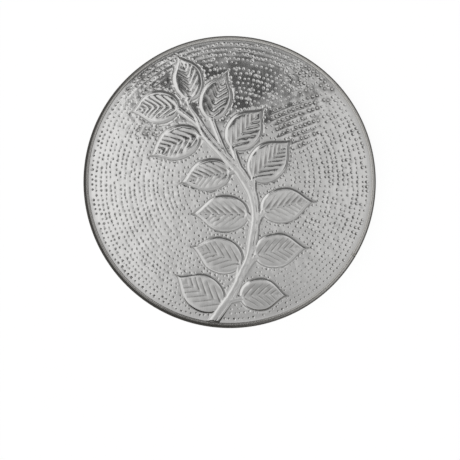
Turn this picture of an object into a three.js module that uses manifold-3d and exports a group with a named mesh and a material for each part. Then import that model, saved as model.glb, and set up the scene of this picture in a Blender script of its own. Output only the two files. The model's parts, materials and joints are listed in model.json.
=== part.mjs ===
// Round metal serving tray: an embossed base plate with a rolled rim band soldered round its edge.
// Units are millimetres. +Z is up, the origin is on the table under the tray's centre, and the branch on
// the plate grows from its foot beside the rim at -Y towards +Y.

import * as THREE from 'three';
import { mergeVertices } from 'three/addons/utils/BufferGeometryUtils.js';
import Module from 'manifold-3d';

const wasm = await Module();
wasm.setup();

// Driving dimensions of the tray
const TRAY_DIAMETER = 380; // over the rim band and the plate's trimmed edge
const TRAY_HEIGHT = 15; // from the table to the band's top edge
const PLATE_THICKNESS = 1.0; // sheet of the base plate
const PLATE_EDGE_BREAK = 0.2; // filed corner under the plate's edge
const BAND_THICKNESS = 1.2; // strip of the rim band
const BAND_EDGE_BREAK = 0.3; // filed corners along the strip
const SEAM_ANGLE_DEG = -30; // where the strip's two ends meet, from +X
const SEAM_GAP = 1.0; // between the two ends, filled with solder
const FILLET_LEG = 0.9; // solder in the inside corner of plate and band
const SOLDER_CLEARANCE = 0.1; // between the solder and the faces of the strip

// Driving dimensions of the embossing
const LEAF_RISE = 1.6; // leaf crown above the ground
const LEAF_BORDER = 5.0; // smooth sloping border round each leaf
const VEIN_DEPTH = 0.5; // side veins, sunk in the crown
const MIDRIB_DEPTH = 0.45; // middle vein, sunk in the crown
const STEM_RISE = 1.5; // stem above the ground
const STEM_WIDTH = 13; // stem where its share is 1
const STEM_RUNOUT = 4; // length over which the stem's upper end sinks into the ground
const PETIOLE_RISE = 1.1; // leaf stalk above the ground
const PETIOLE_FOOT = 7.5; // leaf stalk at the stem
const PETIOLE_NECK = 8.5; // leaf stalk at its leaf
const PETIOLE_REACH = 6; // how far a stalk runs on into its leaf
const ORNAMENT_MARGIN = 0.5; // plain ground between the branch and the solder fillet

// Shares that shape a leaf: where it is widest along its midrib, how full its drawn-out tip is and how late
// it narrows, the height of the border's inner edge, the least share of the half-width left inside the
// border, how far the side veins lean towards the tip at the blade and at the border, and how the rows crowd
// towards the base
const LEAF_WIDEST = 0.4;
const TIP_FULLNESS = 0.8;
const TIP_DELAY = 1.18;
const BORDER_HEIGHT = 0.85;
const LEAST_BLADE = 0.5;
const BLADE_LEAN = 0.35;
const BORDER_LEAN = 0.65;
const EDGE_LEAN = 0.2;
const ROW_CROWDING = 1.4;

// Counts
const RIM_SEGMENTS = 144;
const FILLET_SEGMENTS = 3;
const VEIN_PAIRS = 7;
const STEM_ROWS = 42;
const PETIOLE_ROWS = 4;

// Sizes that follow
const TRAY_RADIUS = TRAY_DIAMETER / 2;
const BAND_INNER_RADIUS = TRAY_RADIUS - BAND_THICKNESS;
const BAND_HEIGHT = TRAY_HEIGHT - PLATE_THICKNESS;
const FILLET_RADIUS = BAND_INNER_RADIUS - SOLDER_CLEARANCE;
const FIELD_RADIUS = FILLET_RADIUS - FILLET_LEG - ORNAMENT_MARGIN;
const SEAM_ANGLE = THREE.MathUtils.degToRad(SEAM_ANGLE_DEG);
const CROWN_ROOT = PLATE_THICKNESS / 2;

// The branch, drawn on a field of radius 1. A stem station has its place and its share of the stem's width.
// The stem's foot runs out past the field, which trims it.
const STEM = [
  { at: [-0.158, -1.047], width: 1.00 },
  { at: [0.014, -0.801], width: 0.95 },
  { at: [0.060, -0.708], width: 0.80 },
  { at: [0.100, -0.614], width: 0.74 },
  { at: [0.137, -0.524], width: 0.72 },
  { at: [0.164, -0.413], width: 1.00 },
  { at: [0.184, -0.240], width: 0.84 },
  { at: [0.163, -0.091], width: 1.00 },
  { at: [0.107, 0.021], width: 1.08 },
  { at: [0.056, 0.096], width: 1.04 },
  { at: [-0.008, 0.160], width: 0.98 },
  { at: [-0.075, 0.232], width: 0.90 },
  { at: [-0.149, 0.314], width: 0.95 },
  { at: [-0.195, 0.384], width: 0.80 },
  { at: [-0.230, 0.459], width: 0.55 },
  { at: [-0.267, 0.513], width: 0.44 },
  { at: [-0.294, 0.571], width: 0.38 },
];

// A leaf runs from its base to its tip. Fullness is its width and bend the bulge of its midrib, to the left,
// both as shares of its length. Its stalk leaves the stem at the station numbered root, counted from 0.
const LEAVES = [
  { base: [-0.043, -0.870], tip: [-0.379, -0.657], fullness: 0.64, bend: 0.045, root: 0.85 },
  { base: [0.088, -0.579], tip: [-0.270, -0.456], fullness: 0.65, bend: 0, root: 1.6 },
  { base: [0.136, -0.224], tip: [-0.262, -0.222], fullness: 0.63, bend: 0.02, root: 5.6 },
  { base: [0.011, 0.077], tip: [-0.352, -0.008], fullness: 0.60, bend: 0, root: 9 },
  { base: [-0.206, 0.336], tip: [-0.569, 0.176], fullness: 0.59, bend: 0, root: 12 },
  { base: [-0.352, 0.518], tip: [-0.689, 0.489], fullness: 0.66, bend: -0.05, root: 13 },
  { base: [-0.283, 0.579], tip: [-0.376, 0.900], fullness: 0.64, bend: -0.1, root: 16 },
  { base: [-0.136, 0.443], tip: [-0.011, 0.779], fullness: 0.62, bend: 0.035, root: 10 },
  { base: [0.008, 0.246], tip: [0.243, 0.526], fullness: 0.67, bend: 0.01, root: 8.1 },
  { base: [0.158, 0.027], tip: [0.440, 0.296], fullness: 0.65, bend: 0.01, root: 6.5 },
  { base: [0.224, -0.206], tip: [0.595, -0.144], fullness: 0.63, bend: 0.01, root: 5.4 },
  { base: [0.174, -0.521], tip: [0.547, -0.464], fullness: 0.62, bend: 0.01, root: 2 },
  { base: [0.075, -0.820], tip: [0.411, -0.806], fullness: 0.67, bend: 0.035, root: 0.8 },
];

// Half of a leaf's section, from its midrib out. Lean is how far a column's veins run on towards the tip.
const LEAF_SECTION = [
  { blade: 0, lean: 0, height: LEAF_RISE - MIDRIB_DEPTH, vein: 0 },
  { blade: 0.5, lean: BLADE_LEAN, height: LEAF_RISE, vein: 1 },
  { blade: 1, lean: BORDER_LEAN, height: LEAF_RISE * BORDER_HEIGHT, vein: 0.4 },
  { edge: true, lean: EDGE_LEAN, height: 0, vein: 0 },
];

// The stem's section, as shares of its half-width and rise: a rounded band with a chased line and a low
// ledge on its right.
const STEM_SECTION = [[-1, 0], [-0.72, 0.8], [-0.28, 1], [0.18, 0.82], [0.38, 0.45], [0.76, 0.5], [1, 0]];
const PETIOLE_SECTION = [[-1, 0], [-0.5, 0.85], [0, 1], [0.5, 0.85], [1, 0]];

const UP = new THREE.Vector3(0, 0, 1);

function onField([x, y]) {
  return new THREE.Vector3(x * FIELD_RADIUS, y * FIELD_RADIUS, PLATE_THICKNESS);
}

// A closed three.js geometry as a solid that can be joined and cut.
function solidOf(geometry) {
  geometry.deleteAttribute('normal');
  geometry.deleteAttribute('uv');
  const merged = mergeVertices(geometry);
  const corners = merged.index.array;
  const kept = [];
  for (let i = 0; i < corners.length; i += 3) {
    const [a, b, c] = corners.slice(i, i + 3);
    if (a !== b && b !== c && c !== a) kept.push(a, b, c);
  }
  const vertProperties = new Float32Array(merged.attributes.position.array);
  return new wasm.Manifold(new wasm.Mesh({ numProp: 3, vertProperties, triVerts: new Uint32Array(kept) }));
}

function geometryOf(solid) {
  const mesh = solid.getMesh();
  const geometry = new THREE.BufferGeometry();
  geometry.setAttribute('position', new THREE.BufferAttribute(new Float32Array(mesh.vertProperties), 3));
  geometry.setIndex(new THREE.BufferAttribute(new Uint32Array(mesh.triVerts), 1));
  geometry.computeVertexNormals();
  return geometry;
}

// A solid of revolution about Z from a profile of [radius, height] pairs.
function turned(profile) {
  const points = profile.map(([radius, height]) => new THREE.Vector2(radius, height));
  const geometry = new THREE.LatheGeometry(points, RIM_SEGMENTS);
  return geometry.rotateX(Math.PI / 2);
}

// A closed crown under rows of points that run across the form, closed down to a flat root in the sheet.
function crown(rows) {
  const across = rows[0].length;
  const top = rows.flat();
  const root = top.map((point) => new THREE.Vector3(point.x, point.y, CROWN_ROOT));
  const points = [...top, ...root];
  const index = [];
  const quad = (a, b, c, d) => index.push(a, b, c, a, c, d);
  const at = (row, column) => row * across + column;
  const under = (row, column) => top.length + at(row, column);
  const last = rows.length - 1;
  for (let row = 0; row < last; row += 1) {
    for (let column = 0; column < across - 1; column += 1) {
      quad(at(row, column), at(row, column + 1), at(row + 1, column + 1), at(row + 1, column));
      quad(under(row, column), under(row + 1, column), under(row + 1, column + 1), under(row, column + 1));
    }
    quad(at(row, 0), at(row + 1, 0), under(row + 1, 0), under(row, 0));
    quad(at(row + 1, across - 1), at(row, across - 1), under(row, across - 1), under(row + 1, across - 1));
  }
  for (let column = 0; column < across - 1; column += 1) {
    quad(at(0, column + 1), at(0, column), under(0, column), under(0, column + 1));
    quad(at(last, column), at(last, column + 1), under(last, column + 1), under(last, column));
  }
  const geometry = new THREE.BufferGeometry().setFromPoints(points);
  geometry.setIndex(index);
  return solidOf(geometry);
}

// Rows of a band that follows a curve, with a section of [share of half-width, share of rise] pairs.
// Shares across run from the left of the curve to its right.
function bandRows(curve, count, section, halfWidthAt, riseAt) {
  const rows = [];
  for (let row = 0; row <= count; row += 1) {
    const t = row / count;
    const middle = curve.getPoint(t);
    const right = curve.getTangent(t).cross(UP).normalize();
    rows.push(section.map(([share, height]) => middle.clone()
      .addScaledVector(right, share * halfWidthAt(t))
      .addScaledVector(UP, height * riseAt(t))));
  }
  return rows;
}

// Half-width of a leaf as a share of its greatest: a round base, then a drawn-out tip.
function leafShare(u) {
  if (u < LEAF_WIDEST) return Math.sqrt(1 - ((LEAF_WIDEST - u) / LEAF_WIDEST) ** 2);
  const fall = (u - LEAF_WIDEST) / (1 - LEAF_WIDEST);
  return ((1 + Math.cos(Math.PI * Math.min(fall, 1) ** TIP_DELAY)) / 2) ** TIP_FULLNESS;
}

function midribOf({ base, tip, bend }) {
  const from = onField(base);
  const to = onField(tip);
  const left = UP.clone().cross(to.clone().sub(from));
  const control = from.clone().lerp(to, 0.5).addScaledVector(left, 2 * bend);
  return new THREE.QuadraticBezierCurve3(from, control, to);
}

// A leaf's crown: every second row is a side vein that leans towards the tip on both sides of the midrib.
function leafCrown(leaf) {
  const midrib = midribOf(leaf);
  const greatest = leaf.fullness * midrib.v0.distanceTo(midrib.v2) / 2;
  const columns = [
    ...LEAF_SECTION.slice(1).reverse().map((column) => ({ ...column, side: -1 })),
    ...LEAF_SECTION.map((column) => ({ ...column, side: 1 })),
  ];
  const rowCount = 2 * VEIN_PAIRS + 2;
  const rows = [];
  for (let row = 0; row <= rowCount; row += 1) {
    const along = (row / rowCount) ** ROW_CROWDING;
    const groove = row % 2 === 1 ? VEIN_DEPTH : 0;
    rows.push(columns.map((column) => {
      const u = along ** (1 / (1 + column.lean));
      const half = greatest * leafShare(u);
      const blade = Math.max(half - LEAF_BORDER, half * LEAST_BLADE);
      const out = column.edge ? half : blade * column.blade;
      const swell = Math.min(1, half / LEAF_BORDER);
      const right = midrib.getTangent(u).cross(UP).normalize();
      return midrib.getPoint(u)
        .addScaledVector(right, column.side * out)
        .addScaledVector(UP, swell * (column.height - column.vein * groove));
    }));
  }
  return crown(rows);
}

function stemCurve() {
  return new THREE.CatmullRomCurve3(STEM.map((station) => onField(station.at)));
}

function stemCrown() {
  const curve = stemCurve();
  const length = curve.getLength();
  const halfWidthAt = (t) => {
    const place = t * (STEM.length - 1);
    const station = Math.min(Math.floor(place), STEM.length - 2);
    const share = THREE.MathUtils.lerp(STEM[station].width, STEM[station + 1].width, place - station);
    return share * STEM_WIDTH / 2;
  };
  const riseAt = (t) => STEM_RISE * Math.min(1, (1 - t) * length / STEM_RUNOUT);
  return crown(bandRows(curve, STEM_ROWS, STEM_SECTION, halfWidthAt, riseAt));
}

// A leaf's stalk, from the middle of the stem into the leaf, where it sinks into the crown.
function petioleCrown(leaf, stem) {
  const midrib = midribOf(leaf);
  const start = stem.getPoint(leaf.root / (STEM.length - 1));
  const end = midrib.v0.clone().addScaledVector(midrib.getTangent(0), PETIOLE_REACH);
  const curve = new THREE.QuadraticBezierCurve3(start, midrib.v0, end);
  const halfWidthAt = (t) => THREE.MathUtils.lerp(PETIOLE_FOOT, PETIOLE_NECK, t) / 2;
  const riseAt = (t) => (t < 1 ? PETIOLE_RISE : 0);
  return crown(bandRows(curve, PETIOLE_ROWS, PETIOLE_SECTION, halfWidthAt, riseAt));
}

// The whole branch as one crown that stands on the ground of the plate.
function branchCrown() {
  const stem = stemCurve();
  const pieces = [stemCrown()];
  for (const leaf of LEAVES) pieces.push(leafCrown(leaf), petioleCrown(leaf, stem));
  return pieces.reduce((whole, piece) => whole.add(piece));
}

// A plain cylinder as tall as the tray, which trims the branch to a radius.
function field(radius) {
  return solidOf(turned([[0, 0], [radius, 0], [radius, TRAY_HEIGHT], [0, TRAY_HEIGHT]]));
}

// The sheet is pressed up from below, so the branch stands on top and is hollow underneath.
function basePlate() {
  const disc = solidOf(turned([
    [0, 0],
    [TRAY_RADIUS - PLATE_EDGE_BREAK, 0],
    [TRAY_RADIUS, PLATE_EDGE_BREAK],
    [TRAY_RADIUS, PLATE_THICKNESS],
    [0, PLATE_THICKNESS],
  ]));
  const branch = branchCrown();
  const raised = branch.intersect(field(FIELD_RADIUS));
  const pressed = branch.intersect(field(FIELD_RADIUS - PLATE_THICKNESS));
  const hollow = pressed.translate([0, 0, -PLATE_THICKNESS]);
  return geometryOf(disc.add(raised).subtract(hollow));
}

// A stretch of the strip's ring between two angles, standing on the plate, with its corners filed off.
function ringStretch(from, to, segments) {
  const shape = new THREE.Shape();
  shape.absarc(0, 0, TRAY_RADIUS, from, to, false);
  shape.absarc(0, 0, BAND_INNER_RADIUS, to, from, true);
  const shortest = Math.min(BAND_THICKNESS, (to - from) * BAND_INNER_RADIUS);
  const broken = Math.min(BAND_EDGE_BREAK, shortest / 4);
  const geometry = new THREE.ExtrudeGeometry(shape, {
    depth: BAND_HEIGHT - 2 * broken,
    curveSegments: segments / 2,
    bevelThickness: broken,
    bevelSize: broken,
    bevelOffset: -broken,
    bevelSegments: 1,
  });
  return geometry.translate(0, 0, PLATE_THICKNESS + broken);
}

function rimBand() {
  const halfGap = SEAM_GAP / 2 / TRAY_RADIUS;
  return ringStretch(SEAM_ANGLE + halfGap, SEAM_ANGLE + 2 * Math.PI - halfGap, RIM_SEGMENTS);
}

function rimSeamSolder() {
  const half = (SEAM_GAP / 2 - SOLDER_CLEARANCE) / TRAY_RADIUS;
  return ringStretch(SEAM_ANGLE - half, SEAM_ANGLE + half, 2);
}

// The solder's face is hollow, as it draws up into the corner.
function cornerSolderFillet() {
  const face = [];
  for (let i = 0; i <= FILLET_SEGMENTS; i += 1) {
    const angle = Math.PI / 2 * (1 - i / FILLET_SEGMENTS);
    face.push([
      FILLET_RADIUS - FILLET_LEG * (1 - Math.sin(angle)),
      PLATE_THICKNESS + FILLET_LEG * (1 - Math.cos(angle)),
    ]);
  }
  const corner = [FILLET_RADIUS, PLATE_THICKNESS];
  return turned([corner, ...face, corner]);
}

function piece(name, geometry, color, roughness) {
  const mesh = new THREE.Mesh(geometry, new THREE.MeshStandardMaterial({ color, roughness, metalness: 1 }));
  mesh.name = name;
  return mesh;
}

const tray = new THREE.Group();
tray.add(piece('base_plate', basePlate(), 0xb9b8b6, 0.34));
tray.add(piece('rim_band', rimBand(), 0xcbc7c3, 0.28));
tray.add(piece('rim_seam_solder', rimSeamSolder(), 0x8f8a7e, 0.45));
tray.add(piece('corner_solder_fillet', cornerSolderFillet(), 0x9a9892, 0.4));

export default tray;
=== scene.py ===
"""Looks of the round metal tray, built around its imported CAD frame.

Dimensions are in millimetres, in the frame of the CAD part. Meshes are made in metres.
"""

import json
import math

import bpy
import numpy as np
from mathutils import Matrix, Vector
from mathutils.geometry import delaunay_2d_cdt

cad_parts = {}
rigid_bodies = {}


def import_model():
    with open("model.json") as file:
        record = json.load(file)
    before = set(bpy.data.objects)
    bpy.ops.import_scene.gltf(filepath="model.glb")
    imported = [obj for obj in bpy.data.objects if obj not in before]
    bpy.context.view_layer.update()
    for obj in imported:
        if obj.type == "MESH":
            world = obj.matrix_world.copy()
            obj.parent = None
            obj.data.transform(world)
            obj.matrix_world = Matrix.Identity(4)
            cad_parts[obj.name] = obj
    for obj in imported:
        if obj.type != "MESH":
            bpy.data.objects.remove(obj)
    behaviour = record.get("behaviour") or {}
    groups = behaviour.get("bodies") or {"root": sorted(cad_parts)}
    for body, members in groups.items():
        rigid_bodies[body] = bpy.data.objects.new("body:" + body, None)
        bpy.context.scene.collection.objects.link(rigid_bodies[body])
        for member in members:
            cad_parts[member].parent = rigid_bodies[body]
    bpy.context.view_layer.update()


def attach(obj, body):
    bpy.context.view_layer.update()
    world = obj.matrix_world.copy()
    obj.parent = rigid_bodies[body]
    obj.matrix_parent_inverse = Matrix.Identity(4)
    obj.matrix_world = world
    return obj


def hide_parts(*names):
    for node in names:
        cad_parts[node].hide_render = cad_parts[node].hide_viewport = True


for left_over in list(bpy.data.objects):
    bpy.data.objects.remove(left_over)

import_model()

MM = 0.001
SEED = 11

# The tray, as in the CAD part
TRAY_RADIUS = 190.0
TRAY_HEIGHT = 15.0
PLATE_THICKNESS = 1.0
PLATE_EDGE_BREAK = 0.2
BAND_THICKNESS = 1.2
BAND_EDGE_BREAK = 0.3
SEAM_ANGLE = math.radians(-30)
SEAM_GAP = 1.0
FILLET_LEG = 0.9
SOLDER_CLEARANCE = 0.1
HAIR_GAP = 0.01
BAND_INNER_RADIUS = TRAY_RADIUS - BAND_THICKNESS
FILLET_RADIUS = BAND_INNER_RADIUS - SOLDER_CLEARANCE
# The field inside the solder, and the curl where the sheet meets the band
FIELD_RADIUS = 187.3
EDGE_LIFT = 0.3
LIFT_WIDTH = 5.0
# Points round the plate's rim, and the spacing of points that fill its top and its underside
EDGE_COUNT = 288
TOP_FILLER = 4.6
LOW_FILLER = 7.0
# Share of the branch's painted shade that the underside gets too
UNDERSIDE_PAINTED_SHADE = 0.7

# Leaves: height, outline, sloping border, dished blade and midrib
LEAF_RISE = 1.2
LEAF_WIDEST = 0.4
TIP_DELAY = 1.38
TIP_START = 0.9
# Painted shade that darkens the leaves towards their tips
TIP_PAINTED_SHADE = 0.8
STEEP_BORDER = 2.5
SOFT_BORDER = 8.0
STEEP_SHARE = 0.75
BLADE_START = 3.0
BLADE_FULL = 5.4
DISH = 0.3
DISH_REACH = 0.85
MIDRIB_DEPTH = 0.22
MIDRIB_WIDTH = 0.8
# Side veins: facets that rise from a thin line to a crest, bolder on one half of the leaf, with painted shade
# in the facets and along the lines
VEIN_DEPTH = 0.28
VEIN_LEAN = 1.28
VEIN_REACH = 0.6
VEIN_CLOSING = 0.3
VEINED_LENGTH = 0.86
FIRST_VEIN = 0.05
VEINS_END = 0.84
FACET_SHARE = 0.8
FACET_PAINTED_SHADE = 0.85
CREST_CLOSING = 0.75
GROOVE_DEPTH = 0.24
GROOVE_WIDTH = 0.55
GROOVE_REACH = 1.25
GROOVE_PAINTED_SHADE = 0.5
FAINT_SIDE = 0.25
SIDE_CHANGE = 0.4
# Upper, lower and deeply dished leaves by their base and topmost ones by their tip, from and to,
# and how they differ, as shares of the others
UPPER_LEAVES = (0.3, 0.4)
LOWER_LEAVES = (-0.25, -0.45)
DISHED_LEAVES = (0.53, 0.57)
TOPMOST_LEAVES = (0.7, 0.75)
UPPER_DEPTH = 2.1
LOWER_DEPTH = 0.38
TOP_DEPTH = 0.6
LOWER_FACETS = 0.45
TOP_FACETS = 0.65
TOP_LEFT_GROOVES = 0.1
# Lower leaves get more painted shade along their vein lines
LOWER_GROOVE_PAINTED_SHADE = 0.9
TOP_DISH = 1.6
# The line chased round the leaves, the stem and the stalks
CHASED_DEPTH = 0.3
CHASED_WIDTH = 0.6
CHASED_OUT = 0.35
# Painted shade in the crease at the foot of the raised forms
CREASE_PAINTED_SHADE = 0.7
CREASE_WIDTH = 0.5
CREASE_OUT = 0.3
STEM_RISE = 1.4
STEM_WIDTH = 13.0
STEM_STEPS = 24
STALK_RISE = 1.1
STALK_FOOT = 7.5
STALK_NECK = 8.5
STALK_REACH = 6.0
# Slow and short waves of the hand-worked sheet
HAMMERED = 0.11
DENTED = 0.09
HAMMERED_END = (182.0, 152.0)
WAVE_COUNT = 9

# The ground, punched from above. A pit is a cap, longer along the rim than across.
# Its rings are given as share of the radius, share of the depth, tarnish and painted shade
PIT_RADIUS = 1.78
PIT_SIZES = (0.72, 1.12)
FILL_SIZES = (0.6, 0.95)
PIT_SLOPE = 0.34
PIT_STRETCH = 1.12
PIT_SIDES = 6
PIT_RINGS = ((0.42, 0.82, 1.0), (0.8, 0.36, 0.6), (1.06, 0.0, 0.1), (1.3, 0.0, 0.0))
# In the slanting rows and in patches (x, y, radius), pits with a clean floor and painted shade round their
# rims look like raised beads
BEAD_RINGS = ((0.42, 0.82, 0.05), (0.8, 0.36, 0.55), (1.06, 0.0, 0.85), (1.3, 0.0, 0.5))
BEAD_SIZES = (0.95, 1.2)
BEAD_SHARE = 0.75
BEAD_PATCHES = ((-100.0, 132.0, 42.0), (-105.0, 80.0, 26.0), (112.0, 130.0, 36.0))
# Painted shade: a plain pit keeps its full tarnish on the side towards this angle and loses most of it on the
# opposite side, so one wall reads as shaded and the other as lit
PAINTED_SHADE_SIDE = math.radians(200)
LIT_SIDE_CLEARING = 0.85
PIT_FLOOR_DARK = 0.6
# Pits at the top are shallower, further apart and carry less tarnish and painted shade, and those on the
# right are bigger
TOP_ZONE = (55.0, 105.0)
TOP_SLOPE = 0.75
TOP_TARNISH_AND_SHADE = 0.25
TOP_APART = 0.3
RIGHT_FROM = (60.0, 120.0)
RIGHT_ABOVE = (-130.0, -40.0)
BIG_PITS = 1.15
# Places where the pits are faint: x, y, radius
FAINT_PATCHES = ((-83.0, -68.0, 24.0), (95.0, -125.0, 34.0), (150.0, -20.0, 16.0), (40.0, -165.0, 16.0))
# Spacing of the pits, and the share of them that the punch missed
PIT_PITCH = 6.0
PIT_CLEARANCE = 2.6
PIT_APART = 4.75
PIT_FILL = 5.3
FILL_GRID = 2.9
PITS_END = 183.2
PITS_MISSED = 0.04
# Rings inside the rim, in bands that share their angles on the right, and rows round the leaves
FIRST_ROW = 181.8
ROW_PITCH = 6.3
RING_ROWS = 28
BLOCK_ROWS = 4
LEAF_ROW_OUT = 3.3
LEAF_ROW_PITCH = 5.5
LEAF_ROW_KEPT = 0.72
# Slanting rows on the right: start, step from row to row, direction, bow, count, length, ridges
SLANT_START = np.array([52.0, 92.0])
SLANT_STEP = np.array([3.3, -7.2])
SLANT_ALONG = np.array([0.915, 0.404])
SLANT_ACROSS = np.array([-0.404, 0.915])
SLANT_BOW = 0.0012
SLANT_ROWS = 8
SLANT_LENGTH = 80.0
SLANT_SHRINK = 4.0
SLANT_RISE = 0.12
SLANT_BARE = 0.45
# Troughs join some neighbours in a row
TROUGH_DEPTH = 0.26
TROUGH_DARK = 0.3
TROUGH_HALF = 1.1
LEAF_TROUGHS = 0.1
SLANT_TROUGHS = 0.35
RING_TROUGHS = 0.22
ARC_TROUGHS = 0.6
# Rows of pits push up low ridges between them, on the left and in the arcs at the top
RIDGE_RISE = 0.05
RIDGE_ROWS = 16
RIDGE_SIDE = (math.radians(115), math.radians(250))
ARC_RISE = 0.014
ARC_MIDDLE = math.radians(88)
ARC_SPREAD = math.radians(40)
ARC_RADIUS = 160.0

# The branch, close to that of the CAD part, on a field of radius 1. Its stem: x, y, width
STEM = [
    (-0.158, -1.047, 1.00), (0.014, -0.801, 0.95), (0.060, -0.708, 0.80), (0.100, -0.614, 0.74),
    (0.137, -0.524, 0.72), (0.164, -0.413, 1.00), (0.184, -0.240, 0.84), (0.163, -0.091, 1.00),
    (0.107, 0.021, 1.08), (0.056, 0.096, 1.04), (-0.008, 0.160, 0.98), (-0.075, 0.232, 0.90),
    (-0.149, 0.314, 0.95), (-0.195, 0.384, 0.80), (-0.230, 0.459, 0.55), (-0.267, 0.513, 0.44),
    (-0.294, 0.571, 0.38),
]
# Base, tip, width over length, bend over length, stem station of the stalk, pairs of side veins
LEAVES = [
    ((-0.043, -0.870), (-0.386, -0.653), 0.64, 0.015, 0.85, 5),
    ((0.088, -0.579), (-0.278, -0.453), 0.65, -0.03, 1.6, 5),
    ((0.136, -0.224), (-0.270, -0.222), 0.63, -0.01, 5.6, 6),
    ((0.011, 0.077), (-0.352, -0.008), 0.60, -0.03, 9, 6),
    ((-0.206, 0.336), (-0.569, 0.176), 0.59, -0.03, 12, 6),
    ((-0.352, 0.518), (-0.702, 0.488), 0.66, -0.07, 13, 6),
    ((-0.283, 0.579), (-0.376, 0.900), 0.64, -0.1, 16, 5),
    ((-0.136, 0.443), (-0.011, 0.779), 0.62, 0.035, 10, 5),
    ((0.008, 0.246), (0.243, 0.526), 0.67, 0.01, 8.1, 5),
    ((0.158, 0.027), (0.441, 0.306), 0.65, 0.01, 6.5, 6),
    ((0.224, -0.206), (0.605, -0.134), 0.63, 0.04, 5.4, 6),
    ((0.174, -0.521), (0.557, -0.463), 0.62, 0.045, 2.0, 6),
    ((0.075, -0.820), (0.421, -0.806), 0.67, 0.06, 0.8, 5),
]
# Across the stem from left to right: a broad band, a chased line and a lower strip where the stalks run along
STEM_ACROSS = (-1.0, -0.84, -0.72, -0.4, 0.1, 0.24, 0.33, 0.42, 0.78, 0.9, 1.0)
STEM_HEIGHT = (0.0, 0.76, 0.95, 1.0, 0.98, 0.90, 0.68, 0.78, 0.74, 0.5, 0.0)
STALK_ACROSS = (-1.0, -0.74, -0.5, 0.0, 0.5, 0.74, 1.0)
STALK_HEIGHT = (0.0, 0.74, 0.95, 1.0, 0.95, 0.74, 0.0)

# Colours
PLATE_DARK = (0.70, 0.695, 0.685, 1)
PLATE_LIGHT = (0.76, 0.755, 0.745, 1)
PLATE_GRAIN = (0.56, 0.55, 0.54, 1)
# Tarnish in the pits and troughs, and painted shade on the branch and the pits
PLATE_TARNISH_AND_SHADE = (0.10, 0.095, 0.09, 1)
RIM_DARK = (0.60, 0.585, 0.565, 1)
RIM_LIGHT = (0.70, 0.685, 0.665, 1)
# Painted shade on the rim: towards the right, and on its top edge and inner face
RIM_RIGHT_SHADE = (0.44, 0.425, 0.405, 1)
RIM_PAINTED_SHADE = (0.10, 0.094, 0.084, 1)
SEAM_DARK = (0.40, 0.38, 0.32, 1)
SEAM_LIGHT = (0.56, 0.53, 0.46, 1)
CORNER_DARK = (0.74, 0.73, 0.70, 1)
CORNER_LIGHT = (0.84, 0.83, 0.80, 1)
FLOOR_WHITE = (0.9, 0.9, 0.9, 1)

# The studio: a dark hole in the panel overhead, and a dimmer streak that runs on from it towards the left.
# Centres and half widths are in (x, y) for the hole, in (x + y, x - y) for the streak
FLOOR_HALF = 4000.0
FLOOR_DEPTH = 0.3
FLOOR_GLOW = 1.09
HOLE_CENTRE = (-0.026, 0.099)
HOLE_HALF = (0.124, 0.06)
STREAK_CENTRE = (-0.035, -0.24)
STREAK_HALF = (0.085, 0.05)
CAMERA_PLACE = (18.0, 45.0, 866.0)
CAMERA_AIM = (9.0, 26.0, TRAY_HEIGHT)
CAMERA_LENS = 51.33
CAMERA_SHIFT = (-0.0135, -0.1461)

random = np.random.default_rng(SEED)


def smooth(share):
    share = np.clip(share, 0, 1)
    return share * share * (3 - 2 * share)


def fade(value, start, end):
    """0 up to the start, 1 from the end on, and smooth between them."""
    return smooth((value - start) / (end - start))


def mixed(low, high, share):
    return low + (high - low) * share


def unit(vectors):
    return vectors / np.maximum(np.linalg.norm(vectors, axis=1), 1e-9)[:, None]


def turned_left(vectors):
    return np.stack([-vectors[:, 1], vectors[:, 0]], 1)


def on_circle(radius, angles):
    return radius * np.stack([np.cos(angles), np.sin(angles)], 1)


def ring_points(count, radius, turn=0.0):
    return on_circle(radius, turn + np.arange(count) * math.tau / count)


def lengths(line):
    """Length of a line up to each of its points."""
    return np.concatenate([[0], np.cumsum(np.hypot(*np.diff(line, axis=0).T))])


def distance_inside(polygon, points):
    """Distance from each point to a closed polygon, positive inside it."""
    start = polygon
    end = np.roll(polygon, -1, axis=0)
    edge = end - start
    gap = points[:, None] - start[None]
    share = np.clip((gap * edge).sum(2) / (edge * edge).sum(1), 0, 1)
    gap = gap - share[..., None] * edge
    distance = np.sqrt((gap ** 2).sum(2).min(1))
    x, y = points[:, 0, None], points[:, 1, None]
    spans = (start[:, 1] > y) != (end[:, 1] > y)
    rise = np.where(edge[:, 1] == 0, 1e-9, edge[:, 1])
    crosses = spans & (x < start[:, 0] + edge[:, 0] * (y - start[:, 1]) / rise)
    inside = crosses.sum(1) % 2 == 1
    return np.where(inside, distance, -distance)


class Raised:
    """A raised form, and the box outside which it changes nothing."""

    def enclose(self, line, reach):
        self.low = line.min(0) - reach - 6
        self.high = line.max(0) + reach + 6

    def near(self, points):
        return np.all((points > self.low) & (points < self.high), axis=1)


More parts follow.
